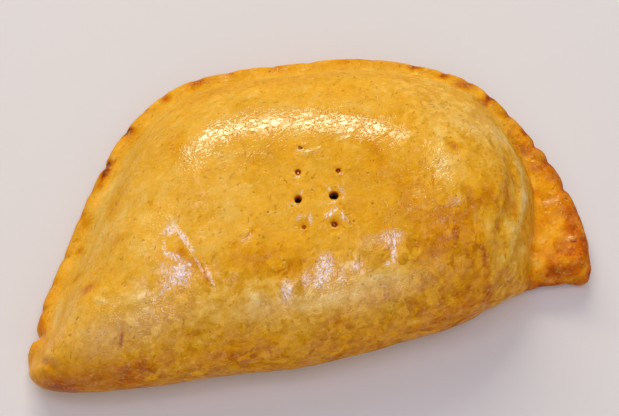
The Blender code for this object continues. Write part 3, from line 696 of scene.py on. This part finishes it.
PAINTED_HIGHLIGHTS = [  # where highlights are painted into the colour as a pale film, and the wash lies thicker, given as the browner patches are
    # On the left part of the front slope.
    (-33.2, 20.0, 1.5, 1.2, 30, 1.0), (-29.9, 16.8, 4.2, 0.6, -68, 1.1), (-35.2, 16.0, 1.6, 0.3, 85, 0.6),
    (-33.2, 12.6, 2.4, 0.7, -37, 1.0), (-32.0, 7.9, 2.3, 2.9, 20, 0.85), (-35.7, 5.6, 3.2, 1.6, 35, 0.40),
    (-36.2, 10.0, 1.6, 2.2, 0, 0.40), (-27.3, 9.5, 2.4, 0.3, -68, 0.5), (-25.0, 6.0, 2.6, 0.35, -75, 0.8),
    (-29.5, 9.8, 0.25, 0.25, 0, 1.0), (-13.6, 14.7, 0.3, 0.3, 0, 1.2), (-15.4, 13.5, 0.25, 0.25, 0, 1.2),
    # In front of the pricks.
    (3.7, 3.6, 1.9, 3.3, -15, 1.1), (1.4, 0.6, 1.6, 1.0, 30, 0.7), (-1.4, 1.6, 1.0, 2.4, -15, 0.5),
    (7.6, 1.4, 1.0, 2.4, -15, 0.40), (11.6, 2.9, 1.6, 1.4, 0, 0.4), (-6.6, -0.2, 1.2, 2.2, -10, 0.8),
    (21.6, 8.9, 3.0, 1.8, 0, 0.75), (21.4, 5.0, 0.7, 2.2, -5, 0.8), (19.3, 2.6, 0.5, 0.5, 0, 1.2),
    (15.2, 8.4, 3.0, 1.8, 20, 0.28),
    # Round the pricks.
    (-0.8, 17.5, 1.2, 0.5, 45, 0.8), (0.8, 17.6, 0.4, 0.6, 0, 0.6), (2.2, 16.7, 1.6, 0.45, 80, 0.9),
    (7.7, 17.5, 2.0, 0.7, 37, 1.0), (10.3, 16.2, 1.6, 0.45, 85, 0.8), (11.3, 14.9, 1.2, 0.4, -80, 0.5),
    (8.1, 24.4, 1.3, 0.5, -60, 0.5), (11.3, 23.4, 1.5, 0.5, -60, 0.6), (8.4, 20.2, 1.4, 0.35, 15, 0.6),
    (11.4, 21.1, 0.5, 0.8, 0, 0.5), (1.1, 24.2, 0.8, 0.5, 60, 0.5), (-1.6, 21.6, 1.2, 0.5, -20, 0.5),
    (1.2, 30.0, 0.2, 0.2, 0, 1.3), (0.9, 28.7, 0.7, 0.3, 0, 0.6), (2.2, 36.1, 1.0, 0.35, -20, 0.5),
    (11.9, 27.9, 0.8, 0.35, -30, 0.4), (7.7, 14.6, 0.15, 0.15, 0, 0.9),
    # Thin, on the right shoulder and along the fold.
    (39.4, 16.0, 3.0, 1.5, 0, 0.35), (38.0, 25.5, 2.5, 3.0, 0, 0.25), (-40.0, -1.0, 13.0, 5.0, 10, 0.24),
    (-56.0, -3.0, 9.0, 7.0, 0, 0.20), (14.0, -3.0, 18.0, 4.0, 5, 0.26), (-12.0, -3.0, 8.0, 3.0, 0, 0.22),
]
painted_highlights = patches(points, PAINTED_HIGHLIGHTS)
wash = WASH + swelling(points, WASH_SWELLS) + patches(points, GLOSSY) + WASH_UNDER_HIGHLIGHTS * painted_highlights
wash[on_top] -= PRICK_THINNING * prick_browning_and_lip_highlight

# Painted glow, for light that would come through thin dough or be thrown back in the furrow: the rim, the flap
# with its furrow, the tip.
thin = 0.2 * dent(all_inwards / 4.0) + 0.5 * on_flap
thin += 0.35 * near_corner(all_along) * dent((past_band - 2.5) / 3.0)
thin += 0.5 * near_tip(all_along) * dent(all_inwards / 12.0)

# How strongly the crust is mottled, in tone and in painted shade: most on the rough front, and least on the
# tip and the flap.
mottled = (0.4 + rough * eased(points[:, 0], -66.0, -36.0)) * (1 - 0.6 * on_flap)
attributes = {
    "baked": baked, "wash": wash, "painted_highlights": painted_highlights, "thin": np.clip(thin, 0.0, 1.0),
    "mottled": np.minimum(mottled, 1.3),
}
for name, values in attributes.items():
    attribute = mesh.attributes.new(name, "FLOAT", "POINT")
    attribute.data.foreach_set("value", values.astype(np.float32))
mesh.polygons.foreach_set("use_smooth", [True] * len(mesh.polygons))
crust = bpy.data.objects.new("crust", mesh)
bpy.context.collection.objects.link(crust)

# --- The crust's material ---------------------------------------------------------------
# Wheat dough brushed with beaten egg and baked: golden where it is thick, amber to brown where it is thin or
# close to the heat. The dried egg is a thin uneven varnish, glossy where it pooled. Some light and shade is
# painted into the colour too: highlights, a glow at the thin edges, and the shade of small lumps and pits.
BAKED_COLOURS = [
    (0.0, "#f0d08a"), (0.12, "#ecc05c"), (0.26, "#e7ab2a"), (0.38, "#dd9a12"), (0.50, "#cf820c"),
    (0.62, "#ba600a"), (0.76, "#8a3a08"), (1.0, "#1c0401"),
]
CREAM, SPECK_AND_PIT_SHADE, PIT_LIP_HIGHLIGHT = "#f2cf80", "#8c5206", "#f8dc94"
# The last of these is the pale lilac white that the painted highlights are mixed towards.
BRUSH_MARK, PALE_BRUSH_MARK, FLAKE, HIGHLIGHT_PAINT = "#945400", "#f4cf78", "#e6b654", "#f0ded6"
CRUST_ROUGHNESS = 0.55
CRUST_IOR = 1.1  # far below that of dough, 1.4: a porous crumb has hardly any gloss of its own
EGG_ROUGHNESS = 0.08
EGG_IOR = 1.6  # dried egg
STROKE_TURN = math.radians(-50)
STRAND_SPACING = 1.0134  # of the painted highlight's strands


def linear(hex_colour):
    """An sRGB hex colour as the linear RGBA that the shader takes."""
    shares = [int(hex_colour[i: i + 2], 16) / 255 for i in (1, 3, 5)]
    return [s / 12.92 if s <= 0.04045 else ((s + 0.055) / 1.055) ** 2.4 for s in shares] + [1.0]


def add_node(tree, kind, inputs=(), **settings):
    """Adds a node to the tree, with its settings, and a value or a link for each named input."""
    added = tree.nodes.new("ShaderNode" + kind)
    for name, value in settings.items():
        setattr(added, name, value)
    for name, value in dict(inputs).items():
        if isinstance(value, bpy.types.NodeSocket):
            tree.links.new(value, added.inputs[name])
        else:
            added.inputs[name].default_value = value
    return added


material = bpy.data.materials.new("egg_washed_crust")
material.use_nodes = True
tree = material.node_tree
tree.nodes.clear()
at_object = add_node(tree, "TexCoord").outputs["Object"]
in_mm = add_node(tree, "VectorMath", {0: at_object, 1: (1 / MM,) * 3}, operation="MULTIPLY").outputs[0]
baked_and_painted_light_at, wash_at, painted_highlights_at, painted_glow_at, mottled_at = (
    add_node(tree, "Attribute", attribute_name=name).outputs["Fac"] for name in attributes)


def patchy(spacing, detail, roughness=0.5, along_it=None):
    """Noise from about -1 to 1, with patches about spacing millimetres apart."""
    settings = {"Vector": along_it or in_mm, "Scale": 1 / spacing, "Detail": detail, "Roughness": roughness}
    raw = add_node(tree, "TexNoise", settings).outputs["Fac"]
    wider = {"Value": raw, "From Min": 0.3, "From Max": 0.7, "To Min": -1.0, "To Max": 1.0}
    return add_node(tree, "MapRange", wider, clamp=False).outputs["Result"]


def varied(base, layers):
    """The base value with each layer of variation added, at its strength."""
    for strength, layer in layers:
        base = add_node(tree, "Math", {0: layer, 1: strength, 2: base}, operation="MULTIPLY_ADD").outputs[0]
    return base


def drifting(places, spacing, distance):
    """The places, each moved by up to the distance, the same way as others less than the spacing away."""
    drift = add_node(tree, "TexNoise", {"Vector": in_mm, "Scale": 1 / spacing}).outputs["Color"]
    moved = {0: drift, 1: (distance,) * 3, 2: places}
    return add_node(tree, "VectorMath", moved, operation="MULTIPLY_ADD").outputs[0]


def crease_lines(spacing, width, along_it=None):
    """1 along thin wandering lines about spacing millimetres apart, and 0 between them."""
    wandering = {0: patchy(spacing, 2.0, 0.6, along_it)}
    wandering = add_node(tree, "Math", wandering, operation="ABSOLUTE").outputs[0]
    line = {"Value": wandering, "From Max": width, "To Min": 1.0, "To Max": 0.0}
    return add_node(tree, "MapRange", line, interpolation_type="SMOOTHSTEP").outputs["Result"]


def flecks(places, spacing, radius, full_radius, strength, draw, least):
    """Round flecks of the strength, for each place that draws more than the least out of 0 to 1."""
    # The radii are shares of the spacing, which is in millimetres. A fleck is whole within the full radius.
    cells = add_node(tree, "TexVoronoi", {"Vector": places, "Scale": 1 / spacing}, feature="F1").outputs
    fleck = {"Value": cells["Distance"], "From Min": radius, "From Max": full_radius, "To Max": strength}
    fleck = add_node(tree, "MapRange", fleck).outputs["Result"]
    drawn = add_node(tree, "SeparateColor", {"Color": cells["Color"]}).outputs[draw]
    chosen = add_node(tree, "Math", {0: drawn, 1: least}, operation="GREATER_THAN").outputs[0]
    return add_node(tree, "Math", {0: fleck, 1: chosen}, operation="MULTIPLY").outputs[0]


# The brush left fine marks in places. Under the wash the crust is mottled, partly in tone and partly in
# painted shade, in soft patches and in small leaves that lie along the strokes.
few = {"Value": patchy(5.0, 2.0), "From Min": 0.2, "From Max": 0.8}
few = add_node(tree, "MapRange", few).outputs["Result"]
brush_lines = add_node(tree, "Math", {0: crease_lines(2.6, 0.3), 1: few}, operation="MULTIPLY").outputs[0]
swept = {"Vector": drifting(in_mm, 5.0, 7.0), "Rotation": (0, 0, STROKE_TURN)}
swept = add_node(tree, "Mapping", swept).outputs[0]
leaf_at = {0: drifting(swept, 1.111, 1.6), 1: (0.45, 1.0, 1.0)}
leaf_at = add_node(tree, "VectorMath", leaf_at, operation="MULTIPLY").outputs[0]
leaves = add_node(tree, "TexVoronoi", {"Vector": leaf_at, "Scale": 1 / 1.8}, feature="F1").outputs["Color"]
leaf = add_node(tree, "SeparateColor", {"Color": leaves}).outputs["Blue"]
leaf = add_node(tree, "MapRange", {"Value": leaf, "To Min": -1.0, "To Max": 1.0}).outputs["Result"]
leaf = add_node(tree, "Math", {0: leaf, 1: mottled_at}, operation="MULTIPLY").outputs[0]
mottle = add_node(tree, "Math", {0: patchy(2.6, 3.0, 0.6), 1: mottled_at}, operation="MULTIPLY").outputs[0]
level = varied(baked_and_painted_light_at, [
    (0.04, patchy(16.0, 2.0)), (0.06, patchy(4.5, 2.0)), (0.02, patchy(1.5, 2.0, 0.6)), (0.10, brush_lines),
    (-0.05, mottle), (-0.05, leaf),
])
ramp = add_node(tree, "ValToRGB", {"Fac": level})
elements = ramp.color_ramp.elements
while len(elements) < len(BAKED_COLOURS):
    elements.new(1.0)
for element, (position, hex_colour) in zip(elements, BAKED_COLOURS):
    element.position = position
    element.color = linear(hex_colour)

# Painted light and shade of the dough's own small lumps and air pockets, with its uneven tone, make it lighter
# and darker at every size.
shade = varied(1.02, [
    (0.12, patchy(9.0, 6.0, 0.85)), (0.06, patchy(3.6, 4.0, 0.7)), (0.07, mottle), (0.07, leaf),
])
colour = ramp.outputs["Color"]
for share in (shade, varied(1.0, [(0.08, patchy(0.7, 2.0, 0.7))])):
    colour = add_node(tree, "VectorMath", {0: colour, 1: share}, operation="MULTIPLY").outputs[0]

# Dried froth leaves cream flecks. Small olive specks are partly painted shade in tiny burst pits, each with a
# painted highlight on its lip on one side.
cream = {"Value": patchy(2.2, 3.0, 0.7), "From Min": 0.5, "From Max": 1.3, "To Max": 0.4}
shaken = drifting(in_mm, 0.7143, 1.1)
beside = add_node(tree, "VectorMath", {0: shaken, 1: (-0.1, 0.45, 0)}, operation="ADD").outputs[0]
on_crust = [
    (add_node(tree, "MapRange", cream).outputs["Result"], CREAM),
    (flecks(shaken, 2.1, 0.19, 0.08, 0.6, "Red", 0.55), SPECK_AND_PIT_SHADE),
    (flecks(beside, 2.1, 0.17, 0.08, 0.35, "Red", 0.55), PIT_LIP_HIGHLIGHT),
]

# Dried brush marks: short olive dashes, and paler ones between them.
dashes = ((0.0, BRUSH_MARK, 0.62, 0.42), (41.0, PALE_BRUSH_MARK, 0.66, 0.30))
for aside, mark_colour, least, strength in dashes:
    dash_at = {0: swept, 1: (0.28, 1.0, 1.0), 2: (aside, 0.0, 0.0)}
    dash_at = add_node(tree, "VectorMath", dash_at, operation="MULTIPLY_ADD").outputs[0]
    on_crust.append((flecks(dash_at, 1.2, 0.31, 0.15, strength, "Green", least), mark_colour))

# Where the dough dried first, the top layer of wash is lighter, with a clear edge.
flakes = {"Value": patchy(4.5, 4.0, 0.65), "From Min": 0.05, "From Max": 0.22, "To Max": 0.2}
on_crust.append((add_node(tree, "MapRange", flakes).outputs["Result"], FLAKE))

# The painted highlight is a pale film colour, whole where it is strong, and broken into strands where it is
# weak.
# The bands of the wave texture are pi / 10 / Scale apart.
crinkles = {
    "Vector": drifting(in_mm, 2.381, 4.0), "Scale": math.pi / 10 / STRAND_SPACING, "Distortion": 6.0,
    "Detail": 3.0, "Detail Scale": 2.5,
}
crinkled = add_node(tree, "TexWave", crinkles).outputs["Fac"]
highlight_strands = {
    "Value": varied(crinkled, [(0.22, patchy(1.1, 2.0, 0.6)), (0.85, painted_highlights_at)]),
    "From Min": 1.12, "From Max": 1.38,
}
highlight_strands = add_node(tree, "MapRange", highlight_strands).outputs["Result"]
present = add_node(tree, "MapRange", {"Value": painted_highlights_at, "From Min": 0.1, "From Max": 0.42}).outputs["Result"]
highlight_strands = add_node(tree, "Math", {0: highlight_strands, 1: present}, operation="MULTIPLY").outputs[0]
highlight_haze = add_node(tree, "Math", {0: present, 1: 0.11}, operation="MULTIPLY").outputs[0]
on_crust.append((varied(highlight_haze, [(0.78, highlight_strands)]), HIGHLIGHT_PAINT))

for share, hex_colour in on_crust:
    laid = {0: share, 6: colour, 7: linear(hex_colour)}
    colour = add_node(tree, "Mix", laid, data_type="RGBA").outputs[2]

# Painted glow: where light would get through thin dough at the rim, the colour is made a warmer orange.
glow = {0: (0.16, -0.08, -0.20), 1: painted_glow_at, 2: (1.0,) * 3}
glow = add_node(tree, "VectorMath", glow, operation="MULTIPLY_ADD").outputs[0]
colour = add_node(tree, "VectorMath", {0: colour, 1: glow}, operation="MULTIPLY").outputs[0]

# Drying pulled the egg wash into fine creases, mostly along the brush strokes. Heights are in millimetres.
turned_mm = add_node(tree, "Mapping", {"Vector": in_mm, "Rotation": (0, 0, -BRUSH_TURN)}).outputs[0]
squeezed = add_node(tree, "VectorMath", {0: turned_mm, 1: (0.35, 1.0, 1.0)}, operation="MULTIPLY").outputs[0]
wrinkles = varied(0.0, [
    (-0.055, crease_lines(2.7, 0.22)), (-0.045, crease_lines(2.2, 0.22, squeezed)), (-0.05, brush_lines),
    (0.022, patchy(2.0, 3.0, 0.55)),
])
washed = add_node(tree, "MapRange", {"Value": wash_at, "From Max": 0.8, "To Min": 0.6}).outputs["Result"]
wrinkles = add_node(tree, "Math", {0: wrinkles, 1: washed}, operation="MULTIPLY").outputs[0]
bump = add_node(tree, "Bump", {"Height": wrinkles, "Strength": 1.0, "Distance": MM}).outputs["Normal"]
ragged_wash = varied(wash_at, [(0.15, patchy(1.8, 3.0, 0.6))])
glaze = add_node(tree, "MapRange", {"Value": ragged_wash, "From Min": 0.1, "From Max": 0.7}).outputs["Result"]
shader = add_node(tree, "BsdfPrincipled", {
    "Base Color": colour, "Roughness": CRUST_ROUGHNESS, "Normal": bump, "IOR": CRUST_IOR,
    "Coat Weight": glaze, "Coat Roughness": EGG_ROUGHNESS, "Coat IOR": EGG_IOR, "Coat Normal": bump,
})
add_node(tree, "OutputMaterial", {"Surface": shader.outputs["BSDF"]})
mesh.materials.append(material)
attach(crust, "root")
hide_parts("empanada")

# === The floor, the light and the camera ================================================
# The pie lies on a table painted matt white, which gives a plain pale ground without reflections. A long
# window behind it gives the bright arc on the egg wash. The light from the front is soft, and small lamps
# above bring out the relief.
FLOOR_SIZE = 3.0
bpy.ops.mesh.primitive_plane_add(size=FLOOR_SIZE, location=(0, 0, 0))
floor = bpy.context.object
floor.name = "floor"
floor_material = bpy.data.materials.new("matte_white_table")
floor_material.use_nodes = True
floor_shader = floor_material.node_tree.nodes["Principled BSDF"]
floor_shader.inputs["Base Color"].default_value = linear("#dedcd9")
floor_shader.inputs["Roughness"].default_value = 0.8
floor.data.materials.append(floor_material)

world = bpy.data.worlds.new("studio")
bpy.context.scene.world = world
world.use_nodes = True
background = world.node_tree.nodes["Background"]
background.inputs["Color"].default_value = linear("#fff7ea")
background.inputs["Strength"].default_value = 0.21

LIGHT_DISTANCE = 1.2
LIGHTS = [  # name, height, turn from straight behind and roll in degrees, width, height, watts, colour
    ("window", 37, -3, -34, 1.0, 0.20, 9.0, "#fff7e2"),
    ("front_fill", 40, 180, 0, 1.2, 0.8, 3.0, "#fff9f2"),
    ("front_downlight", 70, 165, 0, 0.26, 0.40, 2.1, "#e6e2ff"),
    ("right_downlight", 75, 112, 0, 0.28, 0.28, 1.3, "#e6e2ff"),
    ("left_downlight", 74, -75, 0, 0.28, 0.28, 1.2, "#e6e2ff"),
    ("top_downlight", 82, -100, 0, 0.16, 0.16, 0.5, "#e6e2ff"),
    ("back_downlight", 58, -27, 0, 0.22, 0.24, 0.9, "#e6e2ff"),
]
for name, rise, turn, roll, width, depth, watts, hex_colour in LIGHTS:
    light = bpy.data.lights.new(name, "AREA")
    light.shape = "RECTANGLE"
    light.size, light.size_y = width, depth
    light.energy = watts
    light.color = linear(hex_colour)[:3]
    lamp = bpy.data.objects.new(name, light)
    rise, turn = math.radians(rise), math.radians(turn)
    towards = Vector((math.sin(turn) * math.cos(rise), math.cos(turn) * math.cos(rise), math.sin(rise)))
    lamp.location = towards * LIGHT_DISTANCE
    lamp.rotation_mode = "QUATERNION"
    lamp.rotation_quaternion = towards.to_track_quat("Z", "Y") @ Quaternion((0, 0, 1), math.radians(roll))
    bpy.context.collection.objects.link(lamp)

CAMERA_TURN = math.radians(-9.49)
CAMERA_RISE = math.radians(66)
CAMERA_DISTANCE = 0.4
LOOKED_AT = Vector((0.0031, -0.0027, 0.0120))
camera_data = bpy.data.cameras.new("camera")
camera_data.sensor_width = 36
camera_data.lens = 86.5
camera_data.clip_start = 0.01
camera = bpy.data.objects.new("camera", camera_data)
back = Vector((
    math.sin(CAMERA_TURN) * math.cos(CAMERA_RISE), -math.cos(CAMERA_TURN) * math.cos(CAMERA_RISE),
    math.sin(CAMERA_RISE),
))
right = Vector((math.cos(CAMERA_TURN), math.sin(CAMERA_TURN), 0))
camera.matrix_world = Matrix.Translation(LOOKED_AT + CAMERA_DISTANCE * back) @ Matrix(
    (right, back.cross(right), back)).transposed().to_4x4()
bpy.context.collection.objects.link(camera)
bpy.context.scene.camera = camera
bpy.context.scene.view_settings.view_transform = "Standard"
